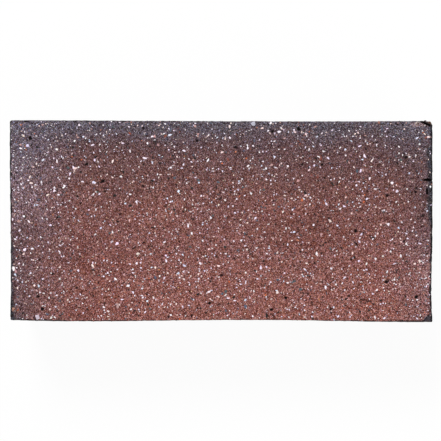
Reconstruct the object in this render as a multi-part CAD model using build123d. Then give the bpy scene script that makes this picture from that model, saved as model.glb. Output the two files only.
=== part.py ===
"""Rectangular concrete paving stone, pressed as one piece, in millimetres.

The bed face lies on Z = 0 and the wearing face looks up. X runs along the length and Y along the
width. The rear is +Y and the right is +X.
"""

from build123d import *
import os

# The block: a straight foot, and sides that lean in to the face above it by the draft.
LENGTH = 210.0
WIDTH = 100.7
THICKNESS = 60.0
DRAFT = 0.3
EDGE_RADIUS = 0.8

# How far in from straight the edges of the face stand at their ends and at points along them, and
# how far each of those points lies from the end of the edge that it names.
FRONT_LEFT_END_IN = 1.0
FRONT_SWELL_IN = 0.37
FRONT_SWELL_FROM_LEFT = 33.0
FRONT_HOLLOW_IN = 0.93
FRONT_HOLLOW_FROM_LEFT = 93.0
FRONT_HOLLOW_FROM_RIGHT = 69.0
FRONT_RETURN_IN = 0.15
FRONT_RETURN_FROM_RIGHT = 28.0
RIGHT_HOLLOW_IN = 0.58
RIGHT_HOLLOW_FROM_FRONT = 17.5
RIGHT_RETURN_IN = 0.05
RIGHT_RETURN_FROM_FRONT = 40.0
RIGHT_STRAIGHT_FROM_REAR = 32.0
REAR_RIGHT_END_IN = 0.35
REAR_HOLLOW_IN = 0.62
REAR_HOLLOW_FROM_RIGHT = 62.0
REAR_RETURN_IN = 0.28
REAR_RETURN_FROM_LEFT = 62.0
LEFT_RETURN_IN = 0.1
LEFT_RETURN_FROM_REAR = 28.0
LEFT_HOLLOW_IN = 0.5
LEFT_HOLLOW_FROM_FRONT = 34.0
LEFT_FRONT_END_IN = 0.35

# The shell-shaped break at the rear right corner: where it ends on the three edges that meet
# there, and how far it hollows behind those three ends.
BREAK_ALONG_REAR = 6.2
BREAK_ALONG_RIGHT = 3.0
BREAK_DOWN = 5.5
BREAK_HOLLOW = 0.7

# Two open slits in the face: one runs out through the right arris, the other along it.
SLIT_WIDTH = 0.9
SLIT_DEPTH = 2.4
OUT_SLIT_REACH = 4.2
OUT_SLIT_FROM_REAR = 30.0
OUT_SLIT_TURN = -4.0
ALONG_SLIT_LENGTH = 2.4
ALONG_SLIT_FROM_REAR = 35.5
ALONG_SLIT_INSET = 2.8
ALONG_SLIT_TURN = 83.0

RIGHT = LENGTH / 2 - DRAFT
LEFT = -RIGHT
REAR = WIDTH / 2 - DRAFT
FRONT = -REAR


def face_outline():
    """The four waving edges of the face, which meet at sharp corners."""
    front_left = (LEFT + LEFT_FRONT_END_IN, FRONT + FRONT_LEFT_END_IN)
    front_swell = (LEFT + FRONT_SWELL_FROM_LEFT, FRONT + FRONT_SWELL_IN)
    hollow_start = (LEFT + FRONT_HOLLOW_FROM_LEFT, FRONT + FRONT_HOLLOW_IN)
    hollow_end = (RIGHT - FRONT_HOLLOW_FROM_RIGHT, FRONT + FRONT_HOLLOW_IN)
    front_return = (RIGHT - FRONT_RETURN_FROM_RIGHT, FRONT + FRONT_RETURN_IN)
    front_right = (RIGHT, FRONT)
    right_hollow = (RIGHT - RIGHT_HOLLOW_IN, FRONT + RIGHT_HOLLOW_FROM_FRONT)
    right_return = (RIGHT - RIGHT_RETURN_IN, FRONT + RIGHT_RETURN_FROM_FRONT)
    right_straight = (RIGHT, REAR - RIGHT_STRAIGHT_FROM_REAR)
    rear_right = (RIGHT, REAR - REAR_RIGHT_END_IN)
    rear_hollow = (RIGHT - REAR_HOLLOW_FROM_RIGHT, REAR - REAR_HOLLOW_IN)
    rear_return = (LEFT + REAR_RETURN_FROM_LEFT, REAR - REAR_RETURN_IN)
    rear_left = (LEFT, REAR)
    left_return = (LEFT + LEFT_RETURN_IN, REAR - LEFT_RETURN_FROM_REAR)
    left_hollow = (LEFT + LEFT_HOLLOW_IN, FRONT + LEFT_HOLLOW_FROM_FRONT)
    front_edge = Spline(
        front_left, front_swell, hollow_start, hollow_end, front_return, front_right
    )
    right_edge = Spline(front_right, right_hollow, right_return, right_straight, rear_right)
    rear_edge = Spline(rear_right, rear_hollow, rear_return, rear_left)
    left_edge = Spline(rear_left, left_return, left_hollow, front_left)
    return Wire([front_edge, right_edge, rear_edge, left_edge])


def pressed_block():
    """The whole block from its straight foot to its waving face, with every edge eased."""
    foot = Rectangle(LENGTH, WIDTH).face().outer_wire()
    face = Pos(0, 0, THICKNESS) * face_outline()
    block = Solid.make_loft([foot, face], ruled=True)
    return fillet(block.edges(), EDGE_RADIUS)


def corner_shell():
    """A ball through the three ends of the corner break, bulging into the block by its hollow."""
    on_rear = Vector(RIGHT - BREAK_ALONG_REAR, REAR, THICKNESS)
    on_right = Vector(RIGHT, REAR - BREAK_ALONG_RIGHT, THICKNESS)
    on_upright = Vector(RIGHT, REAR, THICKNESS - BREAK_DOWN)
    rim = ThreePointArc(on_rear, on_right, on_upright)
    outwards = (on_right - on_rear).cross(on_upright - on_rear).normalized()
    ball_radius = (rim.radius**2 + BREAK_HOLLOW**2) / (2 * BREAK_HOLLOW)
    centre = rim.arc_center + outwards * (ball_radius - BREAK_HOLLOW)
    return Pos(centre) * Sphere(ball_radius)


def cleft(length):
    """A wedge along X, as wide as a slit where it crosses the face and sharp at the root."""
    flanks = Polyline(
        (-SLIT_WIDTH, SLIT_DEPTH), (SLIT_WIDTH, SLIT_DEPTH), (0, -SLIT_DEPTH), close=True
    )
    return extrude(Plane.YZ * make_face(flanks), length / 2, both=True)


def slits():
    """The slit that runs out through the right arris and the slit that follows it."""
    out_mouth = Pos(RIGHT, REAR - OUT_SLIT_FROM_REAR, THICKNESS)
    along_middle = Pos(RIGHT - ALONG_SLIT_INSET, REAR - ALONG_SLIT_FROM_REAR, THICKNESS)
    out_slit = out_mouth * Rot(0, 0, OUT_SLIT_TURN) * cleft(OUT_SLIT_REACH * 2)
    along_slit = along_middle * Rot(0, 0, ALONG_SLIT_TURN) * cleft(ALONG_SLIT_LENGTH)
    return [out_slit, along_slit]


def paving_stone():
    """The block with its broken corner and its two slits."""
    stone = pressed_block() - corner_shell()
    for slit in slits():
        stone -= slit
    return stone


os.makedirs("parts", exist_ok=True)
export_step(paving_stone(), "parts/paving_stone.step")
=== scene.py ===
import math

import bmesh
import bpy
import numpy as np
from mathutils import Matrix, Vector
from mathutils.bvhtree import BVHTree


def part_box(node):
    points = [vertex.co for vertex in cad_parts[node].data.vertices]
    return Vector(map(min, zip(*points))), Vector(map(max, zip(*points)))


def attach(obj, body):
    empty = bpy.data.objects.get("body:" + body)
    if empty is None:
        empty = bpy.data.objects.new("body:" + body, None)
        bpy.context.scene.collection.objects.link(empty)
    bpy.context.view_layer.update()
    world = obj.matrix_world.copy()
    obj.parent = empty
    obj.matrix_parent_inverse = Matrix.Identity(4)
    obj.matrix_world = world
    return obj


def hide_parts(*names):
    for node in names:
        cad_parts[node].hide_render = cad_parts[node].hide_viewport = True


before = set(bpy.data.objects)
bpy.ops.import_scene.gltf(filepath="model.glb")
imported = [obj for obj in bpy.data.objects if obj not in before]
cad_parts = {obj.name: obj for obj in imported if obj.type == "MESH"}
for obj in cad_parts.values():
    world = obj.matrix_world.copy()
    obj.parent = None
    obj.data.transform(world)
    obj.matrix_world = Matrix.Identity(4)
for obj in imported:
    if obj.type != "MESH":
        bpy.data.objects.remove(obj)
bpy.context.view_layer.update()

MM = 0.001
NODE = "paving_stone"
LOW, HIGH = (np.array(corner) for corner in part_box(NODE))
SIZE = HIGH - LOW
TOP = HIGH[2]

# The camera looks straight down, and the picture spans this much at the level of the face.
PICTURE_PIXELS = 441
PICTURE_WIDTH = 217.8 * MM
STONE_CENTRE_PIXEL = (221.1, 221.1)
CAMERA_LENS = 100.0
CAMERA_SENSOR = 36.0

# The block's mesh: the spacing of its lines on the faces, near the edges and up the sides.
EDGE_RADIUS = 0.8 * MM
EDGE_BAND = 2.4 * MM
EDGE_STEP = 0.3 * MM
FACE_STEP = 0.66 * MM
SIDE_STEP = 1.1 * MM
# How many triangles are left where the mesh is thinned, and how much the face is spared.
BODY_TRIANGLES = 190_000
FACE_KEPT = 0.85

rng = np.random.default_rng(502)


def srgb(red, green, blue):
    """A colour as written in a picture, made linear."""
    values = np.array([red, green, blue]) / 255.0
    linear = np.where(values <= 0.04045, values / 12.92, ((values + 0.055) / 1.055) ** 2.4)
    return (*linear.tolist(), 1.0)


def new_object(name, data):
    """An object with these data, linked into the scene."""
    made = bpy.data.objects.new(name, data)
    bpy.context.scene.collection.objects.link(made)
    return made


# Fields of noise over points in metres

# After how many cells a field of noise, or one of hollows, begins again.
NOISE_CELLS = 32
HOLLOW_CELLS = 48


def value_noise(points, cell, seed):
    """Smooth noise from 0 to 1 that changes over a distance of cell."""
    table = np.random.default_rng(seed).random((NOISE_CELLS,) * 3)
    scaled = points / cell
    base = np.floor(scaled).astype(int)
    part = scaled - base
    part = part * part * (3 - 2 * part)
    total = np.zeros(len(points))
    for corner in np.ndindex(2, 2, 2):
        index = (base + corner) % NOISE_CELLS
        weight = np.prod(np.where(corner, part, 1 - part), axis=1)
        total += weight * table[tuple(index.T)]
    return total


def craters(points, cell, share, radii, seed):
    """How deep each point lies in round hollows, 0 outside and 1 at a hollow's middle."""
    table = np.random.default_rng(seed).random((HOLLOW_CELLS, HOLLOW_CELLS, HOLLOW_CELLS, 5))
    base = np.floor(points / cell).astype(int)
    deepest = np.zeros(len(points))
    for step in np.ndindex(3, 3, 3):
        index = base + step - 1
        draw = table[tuple((index % HOLLOW_CELLS).T)]
        middle = (index + draw[:, :3]) * cell
        radius = radii[0] + (radii[1] - radii[0]) * draw[:, 3] ** 2
        distance = np.linalg.norm(points - middle, axis=1)
        depth = np.where(draw[:, 4] < share, 1 - (distance / radius) ** 2, 0)
        deepest = np.maximum(deepest, depth)
    return deepest


# The block's mesh


def graded_lines(low, high, step):
    """Places from low to high, close together near both ends."""
    edge = np.arange(0, EDGE_BAND, EDGE_STEP)
    inside = (low + EDGE_BAND, high - EDGE_BAND)
    middle = np.linspace(*inside, max(2, round((inside[1] - inside[0]) / step) + 1))
    return np.concatenate([low + edge, middle, high - edge[::-1]])


def quads(sheet, turned):
    """The faces of a sheet of vertex numbers, with their normals turned over if asked."""
    corners = [sheet[:-1, :-1], sheet[1:, :-1], sheet[1:, 1:], sheet[:-1, 1:]]
    faces = np.stack([c.ravel() for c in corners], axis=1)
    return faces[:, ::-1] if turned else faces


def box_lattice(xs, ys, zs):
    """The points and faces of a closed box whose sides carry these grid lines."""
    skin = np.ones((len(xs), len(ys), len(zs)), bool)
    skin[1:-1, 1:-1, 1:-1] = False
    ids = np.full(skin.shape, -1)
    ids[skin] = np.arange(skin.sum())
    i, j, k = np.nonzero(skin)
    faces = [
        quads(ids[0], True),
        quads(ids[-1], False),
        quads(ids[:, 0], False),
        quads(ids[:, -1], True),
        quads(ids[:, :, 0], True),
        quads(ids[:, :, -1], False),
    ]
    return np.column_stack([xs[i], ys[j], zs[k]]), np.concatenate(faces)


def search_tree(mesh):
    """A search tree of a mesh's surface."""
    points = [v.co for v in mesh.vertices]
    return BVHTree.FromPolygons(points, [tuple(p.vertices) for p in mesh.polygons])


SOLID = search_tree(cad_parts[NODE].data)
# How far outside the block a ray starts, and where rays measure a side: at two heights, and no
# nearer to a corner than the margin.
REACH = 20 * MM
WALL_HEIGHTS = (3 * MM, TOP - 8 * MM)
CORNER_MARGIN = 2 * MM


def below(tree, x, y):
    """Where a ray straight down at a place first meets a surface, or None."""
    return tree.ray_cast(Vector((x, y, TOP + REACH)), Vector((0, 0, -1)))[0]


def wall_offsets(along, axis, end):
    """How far a side stands off the box at two heights, at each place along it."""
    outward = np.zeros(3)
    outward[axis] = 1 if end else -1
    face = (HIGH if end else LOW)[axis]
    other = 1 - axis
    limits = (LOW[other] + CORNER_MARGIN, HIGH[other] - CORNER_MARGIN)
    offsets = np.zeros((len(along), 2))
    for n, place in enumerate(np.clip(along, *limits)):
        for m, height in enumerate(WALL_HEIGHTS):
            start = np.zeros(3)
            start[axis], start[other], start[2] = face + outward[axis] * REACH, place, height
            hit = SOLID.ray_cast(Vector(start), Vector(-outward))[0]
            offsets[n, m] = hit[axis] - face
    return offsets


def follow_walls(points):
    """Moves the box's points in plan, so that its sides lean and wave as the solid's do."""
    moved = points.copy()
    for axis in (0, 1):
        other = 1 - axis
        share = (points[:, axis] - LOW[axis]) / SIZE[axis]
        places, which = np.unique(points[:, other], return_inverse=True)
        rise = (points[:, 2] - WALL_HEIGHTS[0]) / (WALL_HEIGHTS[1] - WALL_HEIGHTS[0])
        for end, weight in ((False, 1 - share), (True, share)):
            offsets = wall_offsets(places, axis, end)[which]
            lean = offsets[:, 0] + (offsets[:, 1] - offsets[:, 0]) * rise
            moved[:, axis] += weight * lean
    return moved


def rounded(points):
    """Eases the box's edges, and gives each point's way out."""
    core = np.clip(points, LOW + EDGE_RADIUS, HIGH - EDGE_RADIUS)
    out = points - core
    out /= np.linalg.norm(out, axis=1)[:, None]
    return core + out * EDGE_RADIUS, out


# Where the solid's damage is looked for: round its broken corner, and for the slits within a reach
# of the right side and between two reaches of the rear, down to a depth. No ray looks for a slit
# nearer to the right side than the inset.
BREAK_REACH = 8 * MM
SLIT_REACH = (6 * MM, 12 * MM, 45 * MM)
SLIT_DEEPEST = 3 * MM
SLIT_INSET = 1.2 * MM
# The closer grid lines across the slits, and inside the edge bands at the rear and the right:
# from, to and step.
SLIT_LINES = (HIGH[1] - 37.5 * MM, HIGH[1] - 28 * MM, 0.22 * MM)
CLOSE_LINES = (2.5 * MM, 8 * MM, 0.4 * MM)
# How deep damage must be for its painted shade to be darkest, and the break's painted shade beside
# the slits.
DAMAGE_FULL_SHADE = 0.6 * MM
BREAK_SHADE = 0.45

# The ragged mouths of the two slits, the crevice behind the broken corner, and two tears in the
# face: both ends from the middle of the block, the half width and the depth, in millimetres.
GROOVES = [
    ((100.4, 20.3), (102.3, 20.5), 0.56, 2.3),
    ((102.3, 20.6), (105.4, 19.9), 0.45, 2.3),
    ((102.0, 13.5), (101.8, 15.6), 0.42, 2.2),
    ((98.4, 49.4), (101.0, 48.6), 0.5, 2.2),
    ((100.8, 48.7), (103.3, 47.6), 0.85, 3.2),
    ((68.6, -38.9), (74.4, -39.7), 0.42, 0.45),
    ((66.2, -10.4), (67.7, -12.4), 0.42, 0.55),
]
GROOVE_STEEPNESS = 1.6
# The raggedness of their outlines and of the open pits': cell, swing and seed.
GROOVE_RAGGED = (0.7 * MM, 0.5, 25)
PIT_RAGGED = (0.9 * MM, 1.1, 24)


def ragged_edge(points, cell, swing, seed):
    """A factor about 1 that makes an outline ragged over a distance of cell."""
    return 1 + swing * (value_noise(points, cell, seed) - 0.5)


def open_grooves(points):
    """How far each point has to drop to lie in the listed grooves."""
    drop = np.zeros(len(points))
    flat = points[:, :2]
    ragged = ragged_edge(points, *GROOVE_RAGGED)
    for start, end, half, depth in GROOVES:
        start, along = np.array(start) * MM, (np.array(end) - start) * MM
        share = np.clip((flat - start) @ along / (along @ along), 0, 1)
        gap = np.linalg.norm(flat - start - share[:, None] * along, axis=1)
        inside = np.clip(GROOVE_STEEPNESS * (1 - (gap / (half * MM) * ragged) ** 2), 0, 1)
        floor = TOP - depth * MM * inside
        drop = np.maximum(drop, np.where(inside > 0, points[:, 2] - floor, 0))
    return drop


def follow_damage(points):
    """Lays the points on the broken corner, drops them into the slits, and marks where it did, for
    painted shade.
    """
    smooth = points.copy()
    corner = np.array([HIGH[0], HIGH[1], TOP])
    for n in np.nonzero(np.linalg.norm(points - corner, axis=1) < BREAK_REACH)[0]:
        points[n] = SOLID.find_nearest(Vector(points[n]))[0]
    broken = np.linalg.norm(points - smooth, axis=1)
    level = points[:, 2].copy()
    near_right, behind_low, behind_high = SLIT_REACH
    behind = HIGH[1] - points[:, 1]
    near = (points[:, 0] > HIGH[0] - near_right) & (points[:, 2] > TOP - SLIT_DEEPEST)
    near &= (behind > behind_low) & (behind < behind_high)
    for n in np.nonzero(near)[0]:
        hit = below(SOLID, min(points[n, 0], HIGH[0] - SLIT_INSET), points[n, 1])
        if hit is not None:
            points[n, 2] = min(points[n, 2], hit[2])
    points[:, 2] -= open_grooves(points)
    opened = np.clip((level - points[:, 2]) / DAMAGE_FULL_SHADE, 0, 1)
    return points, np.maximum(opened, BREAK_SHADE * np.clip(broken / DAMAGE_FULL_SHADE, 0, 1))


# The open pits that show most in the face: place from the middle of the block and radius, in
# millimetres.
PITS = [
    (38.5, 45.5, 1.02),
    (-38.5, 46.0, 0.77),
    (-94.5, 41.0, 1.02),
    (-58.5, 19.5, 1.02),
    (-88.5, -43.5, 0.94),
    (-5.5, -40.5, 0.85),
    (32.0, -38.0, 0.85),
    (25.0, -43.5, 0.94),
    (81.5, -30.0, 1.02),
    (96.5, -37.5, 1.02),
    (66.5, -5.0, 0.77),
    (90.5, -10.0, 0.77),
    (-12.0, 40.0, 0.77),
]
# How many times deeper they are than the face's small pits.
OPEN_PIT_DEPTH = 1.6

# The noises of the relief: cell and height in millimetres, and seed.
COARSE_GRAIN = (1.6, 0.06, 11)
FINE_GRAIN = (0.8, 0.14, 12)
SWELL = (9, 0.1, 13)
DRAG = (1.3, 0.12, 14)
DRAG_LENGTH = 14
BED_GRAIN = (3.5, 0.3, 15)
# Its hollows: cell in millimetres, share of the cells with one, radii in millimetres and seed.
SMALL_PITS = (3.2, 0.3, (0.4, 1.2), 21)
SIDE_VOIDS = (5, 0.3, (0.4, 1.9), 22)
BED_PITS = (5, 0.4, (0.6, 2), 23)
# How the hollows are warped: cell and reach in millimetres, and seeds.
WARP_CELL = 1.1
WARP_REACH = 1.6
WARP_SEEDS = (31, 32, 33)
# How deep it all goes, in millimetres, and how much of the face's grain the other sides have.
FACE_SINK = 0.22
FACE_PIT_DEPTH = 0.6
SIDE_VOID_DEPTH = 0.9
BED_PIT_DEPTH = 0.9
SIDE_GRAIN_SHARE = 0.5
BED_GRAIN_SHARE = 0.6
# The small bites along the edges: how wide, the cell and seed of their noise, and how many times
# deeper they are at the left and right ends.
FRET_BAND = 1.6 * MM
FRET_NOISE = (2.1 * MM, 16)
FRET_END = 2 * MM
FRET_LEFT = 3.4
FRET_RIGHT = 2.2


def open_pits(points):
    """How deep each point lies in the listed pits of the face, 1 at a pit's middle."""
    deepest = np.zeros(len(points))
    ragged = ragged_edge(points, *PIT_RAGGED)
    for x, y, radius in PITS:
        gap = np.hypot(points[:, 0] - x * MM, points[:, 1] - y * MM) / (radius * MM) * ragged
        deepest = np.maximum(deepest, np.where(points[:, 2] > TOP - EDGE_RADIUS, 1 - gap**2, 0))
    return deepest


def roughness(points, cell, height, seed):
    """Noise that stands up to a height, with its cell in millimetres."""
    return value_noise(points, cell * MM, seed) * height


def hollows(points, cell, share, radii, seed):
    """Craters whose cell and radii are in millimetres."""
    return craters(points, cell * MM, share, (radii[0] * MM, radii[1] * MM), seed)


def fretted(points):
    """How much is bitten off the block's edges, the most at its left end."""
    edge_distance = np.sort(np.minimum(points - LOW, HIGH - points), axis=1)[:, 1]
    edge = np.clip(1 - edge_distance / FRET_BAND, 0, 1)
    fret = np.clip(value_noise(points, *FRET_NOISE) - 0.5, 0, 1) * edge
    at_left, at_right = points[:, 0] < LOW[0] + FRET_END, points[:, 0] > HIGH[0] - FRET_END
    return fret * np.select([at_left, at_right], [FRET_LEFT, FRET_RIGHT], 1.0)


def relief(points, out):
    """How far each point sinks below the smooth block, and how much of that is a pit, which gets
    painted shade.
    """
    up = np.clip(out[:, 2], 0, 1)
    down = np.clip(-out[:, 2], 0, 1)
    side = 1 - up - down
    shifts = [value_noise(points, WARP_CELL * MM, seed) for seed in WARP_SEEDS]
    warped = points + (np.column_stack(shifts) - 0.5) * WARP_REACH * MM
    face_pits = np.maximum(hollows(warped, *SMALL_PITS), open_pits(points) * OPEN_PIT_DEPTH)
    voids = hollows(warped, *SIDE_VOIDS)
    bed_pits = hollows(warped, *BED_PITS)
    grain = roughness(points, *COARSE_GRAIN) + roughness(points, *FINE_GRAIN)
    drag = roughness(points / (1, 1, DRAG_LENGTH), *DRAG)
    face = up * (FACE_SINK + grain + roughness(points, *SWELL) + face_pits * FACE_PIT_DEPTH)
    sides = side * (grain * SIDE_GRAIN_SHARE + drag + voids * SIDE_VOID_DEPTH)
    bed_grain = grain * BED_GRAIN_SHARE + roughness(points, *BED_GRAIN)
    bed = down * (bed_grain + bed_pits * BED_PIT_DEPTH)
    pit = np.maximum.reduce([up * face_pits, side * voids, down * bed_pits])
    return (face + sides + bed + fretted(points)) * MM, pit


def make_body():
    """The pressed block, with its blasted face, moulded sides and rough bed."""
    xs = np.union1d(graded_lines(LOW[0], HIGH[0], FACE_STEP), HIGH[0] - np.arange(*CLOSE_LINES))
    ys = np.union1d(graded_lines(LOW[1], HIGH[1], FACE_STEP), HIGH[1] - np.arange(*CLOSE_LINES))
    ys = np.union1d(ys, np.arange(*SLIT_LINES))
    zs = graded_lines(LOW[2], HIGH[2], SIDE_STEP)
    points, faces = box_lattice(xs, ys, zs)
    points, out = rounded(points)
    points, damage = follow_damage(follow_walls(points))
    sink, pit = relief(points, out)
    pit = np.maximum(pit, damage)
    points = np.clip(points - out * sink[:, None], LOW, HIGH)
    mesh = bpy.data.meshes.new("stone_body")
    mesh.from_pydata(points.tolist(), [], faces.tolist())
    # How deep each point lies in a pit or in damage: where shade is painted into the colour.
    depth = mesh.attributes.new("pit", "FLOAT", "POINT")
    depth.data.foreach_set("value", pit.astype(np.float32))
    outward = mesh.attributes.new("outward", "FLOAT_VECTOR", "POINT")
    outward.data.foreach_set("vector", out.astype(np.float32).ravel())
    body = new_object("stone_body", mesh)
    loose = body.vertex_groups.new(name="loose")
    for share, chosen in ((1 - FACE_KEPT, out[:, 2] > 0.5), (1.0, out[:, 2] <= 0.5)):
        loose.add(np.nonzero(chosen)[0].tolist(), share, "REPLACE")
    thin(body, BODY_TRIANGLES)
    body.data.shade_smooth()
    box_map(body.data)
    return body


def thin(body, triangles):
    """Takes triangles out of an object's mesh where it is flattest, down to a number."""
    now = sum(len(p.vertices) - 2 for p in body.data.polygons)
    fewer = body.modifiers.new("fewer", "DECIMATE")
    fewer.ratio = min(1.0, triangles / now)
    fewer.vertex_group = "loose"
    fewer.vertex_group_factor = 1.0
    shown = body.evaluated_get(bpy.context.evaluated_depsgraph_get())
    full = body.data
    body.data = bpy.data.meshes.new_from_object(shown)
    body.modifiers.clear()
    body.vertex_groups.clear()
    bpy.data.meshes.remove(full)
    body.data.name = body.name


MAP_NAME = "OFBake"
# The share of its cell of the map that stays free on each side of a small piece.
CELL_MARGIN = 0.2
# Where the block's six sides lie on its map: the scale and the side's low corner.
SIDE_MAPS = {
    (2, True): (1.0, (0.0, 0.0)),
    (2, False): (0.62, (0.0, 0.49)),
    (0, True): (0.62, (0.66, 0.49)),
    (0, False): (0.62, (0.66, 0.675)),
    (1, True): (0.48, (0.0, 0.86)),
    (1, False): (0.48, (0.5, 0.86)),
}


def corner_points(mesh):
    """The number of the point that each corner of a mesh's faces is."""
    corners = np.empty(len(mesh.loops), int)
    mesh.loops.foreach_get("vertex_index", corners)
    return corners


def set_map(mesh, places):
    """Gives each corner of a mesh's faces its place on the unwrapped map."""
    layer = mesh.uv_layers.new(name=MAP_NAME)
    layer.uv.foreach_set("vector", places.astype(np.float32).ravel())


def box_map(mesh):
    """Unwraps the block's mesh side by side, with the wearing face as the largest."""
    out = np.empty(len(mesh.vertices) * 3, np.float32)
    mesh.attributes["outward"].data.foreach_get("vector", out)
    points = np.empty(len(mesh.vertices) * 3, np.float32)
    mesh.vertices.foreach_get("co", points)
    corners = corner_points(mesh)
    owners = np.repeat(np.arange(len(mesh.polygons)), [p.loop_total for p in mesh.polygons])
    out, points = out.reshape(-1, 3)[corners], points.reshape(-1, 3)[corners]
    ways = np.zeros((len(mesh.polygons), 3))
    np.add.at(ways, owners, out)
    axis = np.abs(ways).argmax(axis=1)
    ahead = ways[np.arange(len(axis)), axis] > 0
    places = np.zeros((len(corners), 2))
    for (side, end), (scale, low) in SIDE_MAPS.items():
        across = [a for a in (0, 1, 2) if a != side]
        mine = (axis[owners] == side) & (ahead[owners] == end)
        flat = (points[mine][:, across] - LOW[across]) / SIZE[0]
        places[mine] = np.array(low) + flat * scale
    set_map(mesh, np.clip(places, 0, 1))
    mesh.attributes.remove(mesh.attributes["outward"])


# The chippings in the face

CHIP_SHAPES = 24
CHIP_POINTS = 13
TONES = {
    "white": (252, 242, 249),
    "lilac": (247, 231, 250),
    "rose": (248, 220, 217),
    "blue": (226, 229, 250),
    "cream": (249, 231, 224),
    "buff": (190, 150, 148),
    "orange": (222, 116, 74),
    "copper": (196, 126, 96),
    "rust": (138, 74, 58),
    "teal": (78, 88, 94),
    "slate": (88, 92, 108),
    "black": (17, 7, 6),
    "grey": (112, 100, 110),
    "brown": (108, 78, 66),
}
# How many of each kind are strewn in the face, their smallest size and how much they exceed it on
# average, in millimetres.
STREWN = {
    "white": (700, 0.48, 0.27),
    "lilac": (550, 0.5, 0.25),
    "rose": (520, 0.47, 0.22),
    "blue": (180, 0.5, 0.3),
    "cream": (80, 0.5, 0.28),
    "buff": (420, 0.5, 0.3),
    "copper": (100, 0.42, 0.16),
    "orange": (36, 0.4, 0.14),
    "rust": (170, 0.5, 0.25),
    "teal": (90, 0.6, 0.35),
    "slate": (200, 0.5, 0.3),
    "black": (1150, 0.42, 0.22),
}
LARGEST_CHIP = 1.5
CHIP_MARGIN = 0.9
CHIP_CLEAR = 0.15
# How deep a chip's top lies, and how much of its size is worn off that top, to a share of before.
CHIP_STAND = (0.0, 0.16)
CHIP_WORN = 0.27
CHIP_WORN_TO = 0.15
# A chip's corners lie this far from its middle; it is stretched so much three ways, and tilted.
CHIP_CORNERS = (0.48, 0.62)
CHIP_STRETCH = ((1.0, 1.65), (0.72, 0.98), (0.7, 0.95))
CHIP_TILT = 0.5
# How much chips of a kind vary in lightness and in each colour, and how light or dark they get.
TONE_LIGHTNESS = (0.92, 1.04)
TONE_SPREAD = 2.5
TONE_LIMITS = (8, 252)
# The chips in the sides and the bed: how many, how large, how deep and how far they show.
SIDE_CHIPS = 900
BED_CHIPS = 160
SIDE_CHIP_SIZES = (0.9, 2.6)
SIDE_CHIP_SUNK = (0.0, 0.15)
SIDE_CHIP_SHOWN = 0.5
LONG_SIDES_SHARE = 0.7


def random_way():
    """A way in space, as a vector with a length of 1."""
    way = rng.normal(size=3)
    return way / np.linalg.norm(way)


def chip_shape():
    """One broken stone chip about 1 across: the hull of points near a ball."""
    chip = bmesh.new()
    for _ in range(CHIP_POINTS):
        chip.verts.new(random_way() * rng.uniform(*CHIP_CORNERS))
    hull = bmesh.ops.convex_hull(chip, input=chip.verts)
    bmesh.ops.delete(chip, geom=hull["geom_interior"], context="VERTS")
    bmesh.ops.triangulate(chip, faces=chip.faces)
    bmesh.ops.recalc_face_normals(chip, faces=chip.faces)
    chip.verts.index_update()
    points = np.array([v.co for v in chip.verts])
    faces = np.array([[v.index for v in f.verts] for f in chip.faces])
    chip.free()
    return points, faces


def turn_about(way, angle):
    """The turn by an angle about a way in space, as a matrix."""
    x, y, z = way
    cross = np.array([[0, -z, y], [z, 0, -x], [-y, x, 0]])
    return np.eye(3) + math.sin(angle) * cross + (1 - math.cos(angle)) * (cross @ cross)


def random_chip(shapes, size):
    """A chip's points in metres about its middle, stretched and turned at random, and its faces."""
    shape, faces = shapes[rng.integers(CHIP_SHAPES)]
    way = random_way()
    stretch = np.array([rng.uniform(*limits) for limits in CHIP_STRETCH])
    flat = (shape * stretch) @ turn_about((0, 0, 1), rng.uniform(0, math.tau)).T
    return flat @ turn_about(way, rng.uniform(0, CHIP_TILT)).T * size * MM, faces


class Pile:
    """Many small closed pieces gathered into one mesh, each with its own colour and map cell."""

    def __init__(self):
        self.points, self.faces, self.colours, self.sizes = [], [], [], []
        self.count = 0

    def add(self, points, faces, colour):
        self.points.append(np.clip(points, LOW, HIGH))
        self.faces.append(faces + self.count)
        self.colours.append(np.tile(colour, (len(points), 1)))
        self.sizes.append(len(points))
        self.count += len(points)

    def build(self, name, attribute):
        mesh = bpy.data.meshes.new(name)
        points = np.concatenate(self.points)
        mesh.from_pydata(points.tolist(), [], np.concatenate(self.faces).tolist())
        tint = mesh.attributes.new(attribute, "FLOAT_COLOR", "POINT")
        tint.data.foreach_set("color", np.concatenate(self.colours).astype(np.float32).ravel())
        self.map_cells(mesh, points)
        return new_object(name, mesh)

    def map_cells(self, mesh, points):
        """Lays each small piece in a cell of its own on the unwrapped map."""
        owner = np.repeat(np.arange(len(self.sizes)), self.sizes)
        starts = np.concatenate([[0], np.cumsum(self.sizes)[:-1]])
        low = np.minimum.reduceat(points[:, :2], starts)[owner]
        reach = np.maximum.reduceat(points[:, :2], starts)[owner] - low
        cells = math.ceil(math.sqrt(len(self.sizes)))
        inside = (points[:, :2] - low) / np.maximum(reach, 1e-6)
        inside = inside * (1 - 2 * CELL_MARGIN) + CELL_MARGIN
        place = (np.column_stack([owner % cells, owner // cells]) + inside) / cells
        set_map(mesh, place[corner_points(mesh)])


# Grains lie no deeper than this, and not in these places: from and to behind the block's rear edge,
# and from and to inside its right edge, in millimetres.
GRAINS_DEEPEST = 0.72 * MM
DAMAGED = [
    ((-1.0, 3.6), (-1.0, 7.2)),
    ((29.0, 31.4), (-1.0, 5.2)),
    ((34.0, 37.6), (2.2, 4.2)),
]


def at_damage(x, y):
    """Whether a place is at one of the face's two slits or at its broken corner."""
    behind, inside = (HIGH[1] - y) / MM, (HIGH[0] - x) / MM
    return any(a < behind < b and c < inside < d for (a, b), (c, d) in DAMAGED)


def on_face(tree, x, y):
    """The height of the wearing face at a place, or None in a slit, in the break or beside it."""
    hit = below(tree, x, y)
    if hit is None or hit[2] < TOP - GRAINS_DEEPEST or at_damage(x, y):
        return None
    return hit[2]


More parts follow.
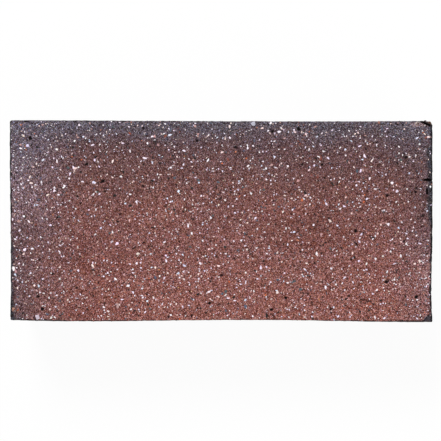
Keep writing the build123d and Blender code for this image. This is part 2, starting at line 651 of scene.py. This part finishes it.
def clear_of_arris(tree, place, reach):
    """Whether the wearing face goes on all round a place."""
    x, y = place
    around = ((x - reach, y), (x + reach, y), (x, y - reach), (x, y + reach))
    return all(on_face(tree, *spot) is not None for spot in around)


def chip_tone(kind):
    """A chip's colour: its kind's, a little lighter or darker."""
    tone = np.array(TONES[kind], float) * rng.uniform(*TONE_LIGHTNESS)
    tone += rng.normal(0, TONE_SPREAD, 3)
    tone *= min(1.0, TONE_LIMITS[1] / tone.max())
    return srgb(*np.maximum(tone, TONE_LIMITS[0]))


class Cover:
    """Which cells of the face its chips take up: 2 where one lies, 1 just beside one."""

    STEP = 0.1 * MM
    BESIDE = 0.3 * MM
    CHIP_RADIUS = 0.42

    def __init__(self):
        self.cells = np.zeros(np.ceil(SIZE[:2] / self.STEP).astype(int) + 1, np.int8)

    def cell(self, places):
        return ((places - LOW[:2]) / self.STEP).astype(int)

    def add(self, place, size):
        radius = self.CHIP_RADIUS * size * MM
        middle = self.cell(place)
        reach = math.ceil((radius + self.BESIDE) / self.STEP)
        low = np.maximum(middle - reach, 0)
        window = self.cells[low[0] : middle[0] + reach + 1, low[1] : middle[1] + reach + 1]
        across, along = np.indices(window.shape)
        far = np.hypot(across + low[0] - middle[0], along + low[1] - middle[1]) * self.STEP
        window[far < radius + self.BESIDE] = np.maximum(window[far < radius + self.BESIDE], 1)
        window[far < radius] = 2

    def at(self, places):
        cells = self.cell(places)
        return self.cells[cells[..., 0], cells[..., 1]]


def lay_chip(pile, shapes, tree, cover, place, size, colour):
    """Lays a chip in the face so that its worn top stands just under the smooth block's level."""
    points, faces = random_chip(shapes, size)
    worn = points[:, 2].max() - CHIP_WORN * size * MM
    points[:, 2] = np.minimum(points[:, 2], worn + (points[:, 2] - worn) * CHIP_WORN_TO)
    stand = rng.uniform(*CHIP_STAND) * MM
    if not clear_of_arris(tree, place, (0.5 * size + CHIP_CLEAR) * MM):
        return
    middle = np.array([place[0], place[1], TOP - stand - points[:, 2].max()])
    pile.add(points + middle, faces, colour)
    cover.add(np.array(place), size)


def press_chip(pile, shapes, tree, start, way, size, colour):
    """Presses a chip into a side or the bed, so that it barely shows."""
    hit = tree.ray_cast(Vector(start), Vector(way))[0]
    if hit is None or at_damage(hit[0], hit[1]):
        return
    points, faces = random_chip(shapes, size)
    outward = -np.array(way)
    sunk = rng.uniform(*SIDE_CHIP_SUNK) * MM - (points @ outward).max()
    pile.add(points + np.array(hit) + outward * sunk, faces, colour)


# The largest chips that the face shows: kind, place from the middle of the block and size, in
# millimetres.
LANDMARKS = [
    ("white", -70.0, 47.5, 1.35),
    ("lilac", -48.5, 38.5, 1.17),
    ("white", -99.0, 36.0, 1.08),
    ("white", -78.0, 31.0, 1.08),
    ("lilac", -83.5, 26.5, 1.26),
    ("cream", -53.5, 29.5, 1.17),
    ("white", -49.5, 22.0, 1.26),
    ("white", -68.5, 19.5, 1.08),
    ("white", -6.5, 30.0, 1.26),
    ("white", -18.5, 28.0, 1.26),
    ("rose", 0.5, 34.0, 1.17),
    ("white", 32.5, 42.0, 1.17),
    ("white", 50.5, 34.5, 1.08),
    ("white", 62.0, 42.0, 1.08),
    ("white", 73.5, 21.0, 1.26),
    ("lilac", 81.5, 23.0, 1.08),
    ("white", 98.0, 38.0, 1.17),
    ("white", -10.0, 12.5, 1.17),
    ("blue", -11.0, 19.0, 1.08),
    ("white", -24.5, 4.5, 1.08),
    ("white", -14.5, -6.0, 1.17),
    ("white", 10.0, -9.5, 1.26),
    ("white", 35.0, -9.5, 1.08),
    ("lilac", 17.0, 1.5, 1.08),
    ("white", 33.0, -30.5, 1.26),
    ("white", 84.0, -15.0, 1.26),
    ("white", 82.0, -25.0, 1.08),
    ("white", 54.5, -23.5, 1.08),
    ("white", -97.5, 2.5, 1.17),
    ("lilac", -80.0, -15.0, 1.08),
    ("white", -46.0, -32.0, 1.26),
    ("white", -58.0, -42.5, 1.26),
    ("white", -44.5, -43.5, 1.17),
    ("cream", -63.5, -22.0, 1.17),
    ("white", -85.0, -38.0, 1.08),
    ("white", 76.0, -47.5, 1.17),
    ("lilac", 58.0, -47.0, 1.08),
    ("orange", 40.0, 10.5, 1.6),
    ("orange", 12.5, 31.0, 0.9),
    ("orange", 70.5, 9.5, 0.99),
    ("orange", 22.0, -36.5, 0.99),
    ("orange", 71.0, 13.0, 0.9),
    ("orange", 0.5, 28.5, 0.81),
    ("orange", 4.0, -30.0, 0.81),
    ("orange", -58.0, -18.5, 0.81),
    ("copper", -99.0, 47.5, 0.9),
    ("teal", -75.5, 26.5, 1.35),
    ("teal", -16.0, 5.0, 1.08),
    ("slate", 11.5, 4.5, 1.08),
    ("slate", 54.0, -13.5, 1.17),
]

# The lumps left in the broken corner: kind, place, how far their middle stands out and size, in
# millimetres.
CRUMBS = [
    ("grey", 100.3, 49.7, 0.1, 1.0),
    ("grey", 101.2, 49.6, 0.2, 1.1),
    ("brown", 103.5, 49.1, 0.2, 1.2),
    ("brown", 104.0, 48.3, 0.2, 1.2),
]


def make_chippings(tree, cover):
    """All the chips that show in the block, as one mesh with a colour for each chip."""
    shapes = [chip_shape() for _ in range(CHIP_SHAPES)]
    pile = Pile()
    for kind, x, y, stand, size in CRUMBS:
        points, faces = random_chip(shapes, size)
        middle = np.array(below(tree, x * MM, y * MM)) + (0, 0, stand * MM)
        pile.add(points + middle, faces, chip_tone(kind))
    for kind, x, y, size in LANDMARKS:
        lay_chip(pile, shapes, tree, cover, (x * MM, y * MM), size, chip_tone(kind))
    for kind, (number, smallest, usual) in STREWN.items():
        for _ in range(number):
            size = min(LARGEST_CHIP, smallest + rng.exponential(usual))
            margin = (CHIP_MARGIN + size / 2) * MM
            place = rng.uniform(LOW[:2] + margin, HIGH[:2] - margin)
            if cover.at(place) == 0:
                lay_chip(pile, shapes, tree, cover, place, size, chip_tone(kind))
    kinds = list(TONES)
    for number in range(SIDE_CHIPS + BED_CHIPS):
        kind = kinds[rng.integers(len(kinds))]
        shown = SIDE_CHIP_SHOWN * np.array(chip_tone(kind))
        muted = shown + (1 - SIDE_CHIP_SHOWN) * np.array(SKIN)
        start = rng.uniform(LOW, HIGH)
        axis = 2 if number >= SIDE_CHIPS else int(rng.random() < LONG_SIDES_SHARE)
        end = axis != 2 and rng.random() < 0.5
        start[axis] = HIGH[axis] + REACH if end else LOW[axis] - REACH
        way = np.zeros(3)
        way[axis] = -1 if end else 1
        size = rng.uniform(*SIDE_CHIP_SIZES)
        press_chip(pile, shapes, tree, start, way, size, muted)
    return pile.build("chippings", "chip_colour")


# The sand in the face

# How many grains are strewn and how many of them are kept, and how far inside the block's box.
SAND_GRAINS = 56_000
SAND_MOST = 49_000
SAND_MARGIN = 0.8 * MM
# A grain's size and what each of its corners multiplies that by, and how deep its top lies or how
# far it stands out of a hollow, in millimetres.
SAND_SIZES = (0.2, 0.4)
SAND_CORNER_SIZES = (0.7, 1.2)
SAND_TOP = (0.08, 0.3)
SAND_STAND = 0.2
# How much grains of one tone vary, and how light they are in the shade painted beside a chip.
SAND_LIGHTNESS = (0.8, 1.2)
SAND_WARMTH = 0.1
SAND_BLUENESS = 0.19
SAND_SHADE_BESIDE_CHIP = 0.35
SAND_CORNERS = np.array([(1, 1, 1), (1, -1, -1), (-1, 1, -1), (-1, -1, 1)]) / math.sqrt(3)
SAND_FACES = np.array([(0, 1, 2), (0, 3, 1), (0, 2, 3), (1, 3, 2)])
# Shares of the grains, how much lighter than the cement they are in red, green and blue, and how
# far they are bare of its colour.
SAND_TONES = [
    (0.32, (0.9, 0.9, 0.91, 0.0)),
    (0.15, (1.6, 1.62, 1.65, 0.2)),
    (0.1, (2.5, 2.55, 2.6, 0.5)),
    (0.06, (4.8, 4.9, 5.0, 0.85)),
    (0.04, (1.8, 1.2, 0.95, 0.0)),
    (0.33, (0.165, 0.1, 0.095, 0.0)),
]


def make_sand(tree, cover):
    """The coarse sand between the chips, as small four-sided grains that share one mesh."""
    places = rng.uniform(LOW[:2] + SAND_MARGIN, HIGH[:2] - SAND_MARGIN, (SAND_GRAINS, 2))
    places = places[cover.at(places) < 2][:SAND_MOST]
    heights = [on_face(tree, x, y) for x, y in places]
    bare = np.array([height is not None for height in heights])
    places = places[bare]
    heights = np.array([height for height in heights if height is not None])
    number = len(places)
    sizes = rng.uniform(*SAND_SIZES, (number, 1, 1))
    sizes = sizes * rng.uniform(*SAND_CORNER_SIZES, (number, 4, 1)) * MM
    points = (SAND_CORNERS * sizes) @ random_turns(number)
    tops = np.minimum(heights + SAND_STAND * MM, TOP - rng.uniform(*SAND_TOP, number) * MM)
    points += np.column_stack([places, tops - points[:, :, 2].max(axis=1)])[:, None]
    kinds = rng.choice(len(SAND_TONES), number, p=[share for share, _ in SAND_TONES])
    tones = np.array([tone for _, tone in SAND_TONES])[kinds]
    tones[:, :3] *= rng.uniform(*SAND_LIGHTNESS, (number, 1))
    # Painted shade in the gap round each chip.
    tones[:, :3] *= np.where(cover.at(places) == 1, SAND_SHADE_BESIDE_CHIP, 1.0)[:, None]
    warmth, blueness = rng.normal(0, (SAND_WARMTH, SAND_BLUENESS), (number, 2)).T
    tones[:, :3] *= np.column_stack([1 + warmth, 1 - 0.3 * warmth, 1 - 0.5 * warmth + blueness])
    pile = Pile()
    for corners, tone in zip(points, np.clip(tones, 0, None)):
        pile.add(corners, SAND_FACES, tone)
    return pile.build("sand", "sand_tone")


def random_turns(number):
    """Random turns in space, as matrices."""
    turns, _ = np.linalg.qr(rng.normal(size=(number, 3, 3)))
    return turns * np.linalg.det(turns)[:, None, None]


# Materials


class Graph:
    """The nodes of a material or a world, with short ways to add and join them."""

    def __init__(self, owner):
        owner.use_nodes = True
        self.owner = owner
        self.nodes = owner.node_tree.nodes
        self.links = owner.node_tree.links

    def node(self, kind, inputs=None, **settings):
        made = self.nodes.new("ShaderNode" + kind)
        for name, value in settings.items():
            setattr(made, name, value)
        for name, value in (inputs or {}).items():
            self.put(made.inputs[name], value)
        return made

    def put(self, socket, value):
        if isinstance(value, bpy.types.NodeSocket):
            self.links.new(value, socket)
        else:
            socket.default_value = value

    def math(self, operation, first, second=0.0):
        return self.node("Math", {0: first, 1: second}, operation=operation).outputs[0]

    def plus(self, first, second):
        return self.math("ADD", first, second)

    def minus(self, first, second):
        return self.math("SUBTRACT", first, second)

    def mix(self, share, first, second, blend="MIX"):
        inputs = {0: share, 6: first, 7: second}
        return self.node("Mix", inputs, data_type="RGBA", blend_type=blend).outputs[2]

    def times(self, first, second, share=1.0):
        return self.mix(share, first, second, "MULTIPLY")

    def noise(self, where, size, detail=2.0, roughness=0.5):
        inputs = {"Vector": where, "Scale": 1 / size, "Detail": detail, "Roughness": roughness}
        return self.node("TexNoise", inputs).outputs["Fac"]

    def cells(self, where, size):
        return self.node("TexVoronoi", {"Vector": where, "Scale": 1 / size})

    def band(self, value, start, end, low=0.0, high=1.0, shape="SMOOTHSTEP"):
        inputs = {"Value": value, "From Min": start, "From Max": end, "To Min": low, "To Max": high}
        return self.node("MapRange", inputs, interpolation_type=shape).outputs["Result"]

    def patch(self, x, y, place, size, most):
        """The strength, at x and y, of an oval patch that fades out towards its edge."""
        across = self.math("DIVIDE", self.minus(x, place[0]), size[0])
        along = self.math("DIVIDE", self.minus(y, place[1]), size[1])
        squares = self.math("POWER", across, 2.0), self.math("POWER", along, 2.0)
        return self.band(self.math("SQRT", self.plus(*squares)), 0.3, 1.0, most, 0.0)

    def ramp(self, value, stops):
        made = self.node("ValToRGB", {"Fac": value})
        marks = made.color_ramp.elements
        while len(marks) < len(stops):
            marks.new(0.5)
        for mark, (place, colour) in zip(marks, stops):
            mark.position = place
            mark.color = colour
        return made.outputs["Color"]

    def bump(self, height, distance, strength=1.0, under=None):
        inputs = {"Height": height, "Distance": distance, "Strength": strength}
        made = self.node("Bump", inputs)
        if under is not None:
            self.put(made.inputs["Normal"], under)
        return made.outputs["Normal"]

    def attribute(self, name, output="Fac"):
        return self.node("Attribute", attribute_name=name).outputs[output]

    def split(self, vector):
        return self.node("SeparateXYZ", {"Vector": vector}).outputs

    def surface(self, colour, roughness, normal=None, specular=0.5):
        """Sets the looks of the material's shader, and gives the material."""
        shader = self.nodes["Principled BSDF"].inputs
        self.put(shader["Base Color"], colour)
        self.put(shader["Roughness"], roughness)
        self.put(shader["Specular IOR Level"], specular)
        if normal is not None:
            self.put(shader["Normal"], normal)
        return self.owner


def grey(value):
    return (value, value, value, 1.0)


SKIN = srgb(112, 97, 96)
PALE_SKIN = srgb(141, 121, 115)
SKIN_RIM = srgb(58, 49, 52)
ARRIS_SLATE = srgb(56, 58, 66)
ARRIS_BLACK = srgb(24, 24, 29)
ARRIS_BROWN = srgb(50, 32, 32)
# The near-black colour of painted shade in pits, pores, damage and notches along the edges.
CREVICE_SHADE = srgb(14, 7, 7)
BARE_STONE = (1.08, 0.96, 1.04, 1.0)
# The face's colours from its rear edge to its front, in the middle and at its left and right ends.
MIDDLE_TONES = [
    (0.03, srgb(99, 88, 98)),
    (0.14, srgb(108, 75, 76)),
    (0.33, srgb(125, 78, 72)),
    (0.6, srgb(144, 87, 79)),
    (0.95, srgb(157, 93, 81)),
]
LEFT_TONES = [
    (0.06, srgb(107, 96, 110)),
    (0.2, srgb(122, 103, 114)),
    (0.4, srgb(133, 106, 114)),
    (0.56, srgb(106, 80, 85)),
    (1.0, srgb(109, 79, 82)),
]
RIGHT_TONES = [
    (0.06, srgb(101, 89, 99)),
    (0.31, srgb(97, 76, 81)),
    (0.46, srgb(92, 74, 80)),
    (0.72, srgb(150, 107, 109)),
    (0.97, srgb(140, 97, 96)),
]
# How far in the colours of the two ends reach, and how strong they are there.
END_START = -4 * MM
LEFT_REACH = 44 * MM
LEFT_MOST = 0.9
RIGHT_REACH = 26 * MM
RIGHT_MOST = 0.75
# How large the clouds are, and how far they shift the colours.
CLOUD_SIZE = 20 * MM
CLOUD_WANDER = 18 * MM
# Weaker clouds in the face: the middle and half lengths in metres, and what the colour is
# multiplied by.
CLOUDS = [
    ((-0.060, -0.048), (0.024, 0.018), (0.86, 0.82, 0.81, 1.0)),
    ((-0.060, -0.018), (0.024, 0.014), (0.88, 0.84, 0.84, 1.0)),
    ((0.042, -0.006), (0.036, 0.014), (0.88, 0.82, 0.76, 1.0)),
    ((0.032, 0.007), (0.024, 0.009), (1.14, 1.06, 1.0, 1.0)),
    ((-0.030, 0.006), (0.026, 0.012), (1.14, 1.08, 1.02, 1.0)),
]
# How ragged the dark rims along the arrises are, partly dark skin and partly painted shade: over
# what distance, and by how much.
ARRIS_RAGGED_CELL = 3 * MM
ARRIS_RAGGED_SWING = 3.2 * MM
# A pale smear of cement beside the broken corner.
SMEAR = srgb(168, 140, 140)
SMEAR_PLACE = (97.4 * MM, 47.7 * MM)
SMEAR_SIZE = (5.2 * MM, 1.7 * MM)
SMEAR_MOST = 0.85


def cloud_colour(g, where):
    """Brick red, clouded with anthracite at the rear and greyer at both ends, its edges darkened
    partly by painted shade.
    """
    x, y, _ = g.split(where)
    cloud = g.noise(where, CLOUD_SIZE, 3.0, 0.55)
    wander = g.math("MULTIPLY", g.minus(cloud, 0.5), CLOUD_WANDER)
    behind = g.plus(g.minus(HIGH[1], y), wander)
    from_left = g.plus(g.minus(x, LOW[0]), wander)
    from_right = g.plus(g.minus(HIGH[0], x), wander)
    across = g.band(behind, 0.0, SIZE[1], shape="LINEAR")
    at_left = g.band(from_left, END_START, LEFT_REACH, LEFT_MOST, 0.0)
    at_right = g.band(from_right, END_START, RIGHT_REACH, RIGHT_MOST, 0.0)
    colour = g.mix(at_left, g.ramp(across, MIDDLE_TONES), g.ramp(across, LEFT_TONES))
    colour = g.mix(at_right, colour, g.ramp(across, RIGHT_TONES))
    for place, size, tone in CLOUDS:
        colour = g.times(colour, tone, g.patch(x, y, place, size, 1.0))
    return arris_colour_and_shade(g, where, colour)


def bared(g, colour, share):
    """A cement colour on its way to the pale lilac grey of stone that is as light as it."""
    lightness = g.node("RGBToBW", {"Color": colour}).outputs[0]
    return g.mix(share, colour, g.times(BARE_STONE, lightness))


def arris_colour_and_shade(g, where, colour):
    """Darkens a colour along the face's four edges, partly their darker skin and partly painted
    shade on the rounded arrises: slate at both ends, brown at the front.
    """
    x, y, _ = g.split(where)
    left, right = g.minus(x, LOW[0]), g.minus(HIGH[0], x)
    front, rear = g.minus(y, LOW[1]), g.minus(HIGH[1], y)
    raggedness = g.minus(g.noise(where, ARRIS_RAGGED_CELL, 3.0), 0.5)
    ragged = g.math("MULTIPLY", raggedness, ARRIS_RAGGED_SWING)
    # What changes along an edge: a rim's colour, how far it is moved or how strong it is.
    front_tone = g.mix(g.band(left, 18 * MM, 28 * MM), ARRIS_BLACK, ARRIS_BROWN)
    right_narrows = g.math(
        "MAXIMUM",
        g.band(rear, 10 * MM, 16 * MM, 1.3 * MM, 0.0),
        g.band(rear, 44 * MM, 52 * MM, 0.0, 1.3 * MM),
    )
    left_narrows = g.band(rear, 48 * MM, 66 * MM, 2.4 * MM, 0.0)
    left_thins = g.band(rear, 14 * MM, 24 * MM, 0.5 * MM, 0.0)
    left_fades = g.band(rear, 54 * MM, 66 * MM, 0.92, 0.5)
    right_thickens = g.band(rear, 54 * MM, 66 * MM, 0.0, -0.5 * MM)
    front_thickens = g.band(left, 20 * MM, 28 * MM, -0.5 * MM, 0.0)
    # Each rim's distance from its edge, where it starts to fade and over what distance, its
    # strength and its colour.
    for gap, start, reach, most, tone in (
        (g.plus(right, right_narrows), 1.9 * MM, 2.0 * MM, 0.85, ARRIS_SLATE),
        (g.plus(left, left_narrows), 1.1 * MM, 2.6 * MM, 0.85, ARRIS_SLATE),
        (g.plus(right, front), 6.0 * MM, 1.6 * MM, 0.9, ARRIS_SLATE),
        (g.plus(left, front), 3.6 * MM, 8 * MM, 0.75, ARRIS_SLATE),
        # The thin black rims: partly dark skin, partly painted shade on the arrises turned from the
        # light.
        (g.plus(right, right_thickens), 0.8 * MM, 0.7 * MM, 0.95, ARRIS_BLACK),
        (g.plus(left, left_thins), 1.1 * MM, 0.5 * MM, left_fades, ARRIS_BLACK),
        (g.plus(front, front_thickens), 0.7 * MM, 0.9 * MM, 0.9, front_tone),
        (rear, 0.4 * MM, 0.6 * MM, 0.7, ARRIS_BROWN),
    ):
        rim = g.band(g.plus(gap, ragged), start, start + reach, most, 0.0)
        colour = g.mix(rim, colour, tone)
    colour = g.mix(g.patch(x, y, SMEAR_PLACE, SMEAR_SIZE, SMEAR_MOST), colour, SMEAR)
    # Dark spots near the edges: painted shade in small notches of the arrises.
    nearest = g.math("MINIMUM", g.math("MINIMUM", left, right), g.math("MINIMUM", front, rear))
    notch_shade = g.band(g.noise(where, 2.2 * MM, 2.0), 0.54, 0.6)
    notch_shade = g.math("MULTIPLY", notch_shade, g.band(nearest, 1.0 * MM, 1.8 * MM, 0.9, 0.0))
    return g.mix(notch_shade, colour, CREVICE_SHADE)


# The size of the cement's cells, and what they multiply its colour by, from the lowest to the
# highest of their random values.
GRAIN_CELL = 0.42 * MM
FINE_CELL = 0.3 * MM
GRAIN_TONES = [
    (0.0, (0.3, 0.22, 0.21, 1.0)),
    (0.25, (0.76, 0.72, 0.72, 1.0)),
    (0.6, (1.0, 1.0, 1.0, 1.0)),
    (0.85, (1.3, 1.37, 1.38, 1.0)),
    (1.0, (2.0, 2.25, 2.3, 1.0)),
]
FINE_TONES = [
    (0.0, (0.14, 0.07, 0.06, 1.0)),
    (0.5, (0.92, 0.9, 0.9, 1.0)),
    (1.0, (2.3, 2.55, 2.6, 1.0)),
]
FINE_WARMTHS = [
    (0.0, (0.83, 1.02, 1.12, 1.0)),
    (0.5, (1.0, 1.0, 1.0, 1.0)),
    (1.0, (1.14, 0.96, 0.88, 1.0)),
]
FINE_BLUES = [(0.0, (1.0, 1.0, 0.76, 1.0)), (1.0, (1.0, 1.0, 1.24, 1.0))]
CEMENT_BARED = 0.4
CEMENT_SPECULAR = 0.14
CHIP_SPECULAR = 0.28
# How dark the shade painted in the pits and damage gets.
PIT_SHADE = 0.94


def cell_values(g, cells):
    """Three random values from 0 to 1 for each cell."""
    return g.node("SeparateColor", {"Color": cells.outputs["Color"]}).outputs


def blasted_colour(g, cloud, grain_tone, grain_shade, fine_values):
    """The cement between the grains of the face: cells of many tints, the lightest partly bared."""
    fine_blue, fine_tone, fine_warmth = fine_values
    bare = g.math("MAXIMUM", g.band(grain_tone, 0.6, 1.0), g.band(fine_tone, 0.55, 1.0))
    colour = bared(g, cloud, g.math("MULTIPLY", bare, CEMENT_BARED))
    colour = g.times(colour, grain_shade)
    colour = g.times(colour, g.ramp(fine_warmth, FINE_WARMTHS))
    colour = g.times(colour, g.ramp(fine_blue, FINE_BLUES))
    return g.times(colour, g.ramp(fine_tone, FINE_TONES))


def moulded_colour(g, where, stain, cloud, grain_shade, fine_tone):
    """The cement skin of the sides and bed: stains, drag lines, shade painted in pores and a dark
    rim at the top.
    """
    z = g.split(where)[2]
    drawn = g.node("VectorMath", {0: where, 1: (1, 1, 0.07)}, operation="MULTIPLY")
    streak = g.noise(drawn.outputs[0], 1.6 * MM)
    # Pores painted with shade, not cut into the mesh.
    pore_shade = g.band(g.noise(where, 1.1 * MM, 3.0, 0.6), 0.6, 0.66, 0.0, 0.8)
    colour = g.mix(g.band(stain, 0.35, 0.65), SKIN, PALE_SKIN)
    colour = g.mix(0.35, colour, cloud)
    colour = g.times(colour, g.ramp(streak, [(0.3, grey(0.84)), (0.7, grey(1.12))]))
    colour = g.mix(g.band(z, TOP - 4 * MM, TOP - 0.8 * MM, 0.0, 0.9), colour, SKIN_RIM)
    colour = g.times(colour, grain_shade, 0.5)
    colour = g.times(colour, g.ramp(fine_tone, [(0.0, grey(0.6)), (1.0, grey(1.35))]))
    return g.mix(pore_shade, colour, CREVICE_SHADE)


def concrete():
    """Cement, blasted on the face, moulded on the sides and the bed, with shade painted in its
    pits.
    """
    g = Graph(bpy.data.materials.new("concrete"))
    where = g.node("TexCoord").outputs["Object"]
    z = g.split(where)[2]
    up = g.band(g.split(g.node("NewGeometry").outputs["Normal"])[2], 0.3, 0.7)
    blasted = g.math("MULTIPLY", up, g.band(z, TOP - 1.2 * MM, TOP - 0.6 * MM))
    cloud = cloud_colour(g, where)
    stain = g.noise(where, 6 * MM, 4.0, 0.6)
    grains = g.cells(where, GRAIN_CELL)
    grain_tone = cell_values(g, grains)[0]
    grain_shade = g.ramp(grain_tone, GRAIN_TONES)
    fine_values = cell_values(g, g.cells(where, FINE_CELL))
    face = blasted_colour(g, cloud, grain_tone, grain_shade, fine_values)
    sides = moulded_colour(g, where, stain, cloud, grain_shade, fine_values[1])
    colour = g.mix(blasted, sides, face)
    # Painted shade in the pits and the damage.
    pit = g.band(g.attribute("pit"), 0.1, 0.8, 0.0, PIT_SHADE)
    colour = g.mix(pit, colour, CREVICE_SHADE)
    height = g.minus(1.0, grains.outputs["Distance"])
    rough = g.bump(g.noise(where, 0.45 * MM, 3.0, 0.6), 0.45 * MM)
    normal = g.bump(height, 0.25 * MM, 0.9, rough)
    roughness = g.band(stain, 0.3, 0.7, 0.82, 0.96)
    return g.surface(colour, roughness, normal, CEMENT_SPECULAR)


def sand():
    """Grains under a film of cement, some of them blasted bare."""
    g = Graph(bpy.data.materials.new("sand"))
    where = g.node("TexCoord").outputs["Object"]
    tone = g.node("Attribute", attribute_name="sand_tone").outputs
    film = g.noise(where, 0.4 * MM, 2.0)
    colour = g.times(bared(g, cloud_colour(g, where), tone["Alpha"]), tone["Color"])
    colour = g.times(colour, g.ramp(film, [(0.3, grey(0.7)), (0.7, grey(1.1))]))
    normal = g.bump(film, 0.1 * MM, 0.7)
    roughness = g.band(film, 0.3, 0.7, 0.7, 0.95)
    return g.surface(colour, roughness, normal, CEMENT_SPECULAR)


def chip_stone():
    """Broken quartz, feldspar and other chips, each with its own tint."""
    g = Graph(bpy.data.materials.new("chip_stone"))
    where = g.node("TexCoord").outputs["Object"]
    grime = g.noise(where, 0.6 * MM, 2.0)
    stained = g.ramp(grime, [(0.3, grey(0.92)), (0.5, grey(1.0))])
    colour = g.times(g.attribute("chip_colour", "Color"), stained)
    normal = g.bump(grime, 0.06 * MM, 0.5)
    roughness = g.band(grime, 0.3, 0.7, 0.45, 0.7)
    return g.surface(colour, roughness, normal, CHIP_SPECULAR)


# Stage

# The floor: half its length, and how much of its own white the camera sees in place of its shade.
FLOOR_HALF = 3.0
FLOOR_GLOW = 0.95


def camera_glow(g, colour_shader, glow):
    """Gives a shader a share of plain white that only the camera, mirrors and glass see."""
    path = g.node("LightPath").outputs
    seen = g.math("MAXIMUM", path["Is Camera Ray"], path["Is Glossy Ray"])
    seen = g.math("MAXIMUM", seen, path["Is Transmission Ray"])
    white = g.node("Emission", {"Color": grey(1.0), "Strength": 1.0}).outputs[0]
    share = g.math("MULTIPLY", seen, glow)
    return g.node("MixShader", {0: share, 1: colour_shader, 2: white}).outputs[0]


def make_floor():
    """A wide white floor under the stone."""
    mesh = bpy.data.meshes.new("floor")
    half = FLOOR_HALF
    corners = [(-half, -half, 0), (half, -half, 0), (half, half, 0), (-half, half, 0)]
    mesh.from_pydata(corners, [], [(0, 1, 2, 3)])
    floor = new_object("floor", mesh)
    g = Graph(bpy.data.materials.new("floor_white"))
    mesh.materials.append(g.surface(grey(0.9), 0.9))
    shown = camera_glow(g, g.nodes["Principled BSDF"].outputs[0], FLOOR_GLOW)
    g.put(g.nodes["Material Output"].inputs["Surface"], shown)


# The light: the world's strength, and each lamp's power in watts, place and size in metres.
WORLD_LIGHT = 0.34
KEY_POWER = 21.6
KEY_PLACE = Vector((-0.3, 0.95, 1.25))
KEY_SIZE = 0.5
FILL_POWER = 7.0
FILL_PLACE = Vector((0.9, -1.1, 0.95))
FILL_SIZE = 1.2


def area_light(name, place, power, size):
    """A square soft light that faces the stone."""
    lamp = bpy.data.lights.new(name, "AREA")
    lamp.energy = power
    lamp.size = size
    light = new_object(name, lamp)
    light.location = place
    light.rotation_euler = (-place).to_track_quat("-Z", "Y").to_euler()


def make_world():
    """Even white light from all round, seen as plain white."""
    world = bpy.data.worlds.new("studio")
    bpy.context.scene.world = world
    g = Graph(world)
    path = g.node("LightPath").outputs
    seen = g.math("MAXIMUM", path["Is Camera Ray"], path["Is Glossy Ray"])
    background = g.nodes["Background"].inputs
    g.put(background["Color"], grey(1.0))
    g.put(background["Strength"], g.band(seen, 0.0, 1.0, WORLD_LIGHT, 1.0, "LINEAR"))


def make_camera():
    """A camera straight above, turned so that the stone's rear is at the top."""
    lens = bpy.data.cameras.new("camera")
    lens.lens = CAMERA_LENS
    lens.sensor_width = CAMERA_SENSOR
    camera = new_object("camera", lens)
    pixel = PICTURE_WIDTH / PICTURE_PIXELS
    above = PICTURE_WIDTH * CAMERA_LENS / CAMERA_SENSOR
    middle = PICTURE_PIXELS / 2
    camera.location = (
        (middle - STONE_CENTRE_PIXEL[0]) * pixel,
        (STONE_CENTRE_PIXEL[1] - middle) * pixel,
        TOP + above,
    )
    bpy.context.scene.camera = camera


make_camera()
make_floor()
make_world()
area_light("key", KEY_PLACE, KEY_POWER, KEY_SIZE)
area_light("fill", FILL_PLACE, FILL_POWER, FILL_SIZE)

body = make_body()
surface = search_tree(body.data)
cover = Cover()
chippings = make_chippings(surface, cover)
grains = make_sand(surface, cover)
for piece, material in ((body, concrete()), (chippings, chip_stone()), (grains, sand())):
    piece.data.materials.append(material)
    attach(piece, "root")
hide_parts(NODE)

bpy.context.scene.view_settings.view_transform = "Standard"
